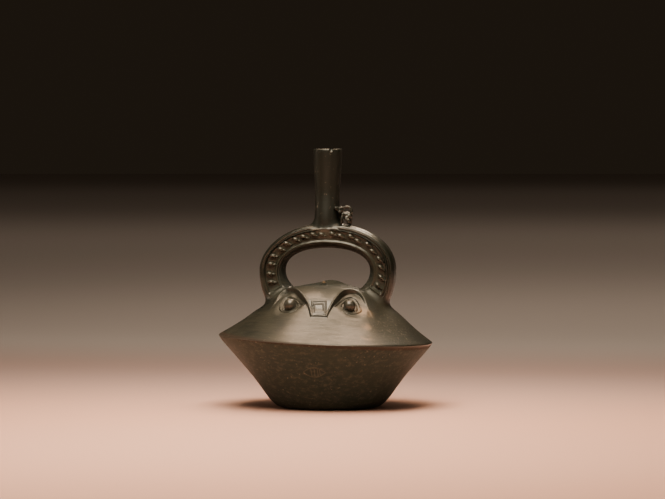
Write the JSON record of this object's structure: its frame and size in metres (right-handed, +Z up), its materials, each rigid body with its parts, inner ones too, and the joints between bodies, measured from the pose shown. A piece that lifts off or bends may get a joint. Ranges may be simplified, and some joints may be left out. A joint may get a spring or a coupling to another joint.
{
  "type": "stirrup spout vessel",
  "caption": "Burnished black clay bottle with a two-cone body, an animal face on its shoulder, and a stirrup-shaped handle whose hollow tube carries the spout.",
  "frame": {"origin": "middle of the flat underside of the foot", "axes": "+Z up along the bottle, -Y is the side with the face, +X is on the right of someone who looks at the face"},
  "size_m": [0.1738, 0.1736, 0.21],
  "materials": {
    "burnished_clay": "low-fired black clay, burnished to a satin sheen, with brown mottling, tan worn patches and pale scuffs"
  },
  "bodies": {
    "root": {"stirrup_spout_vessel": "burnished_clay"}
  },
  "joints": []
}
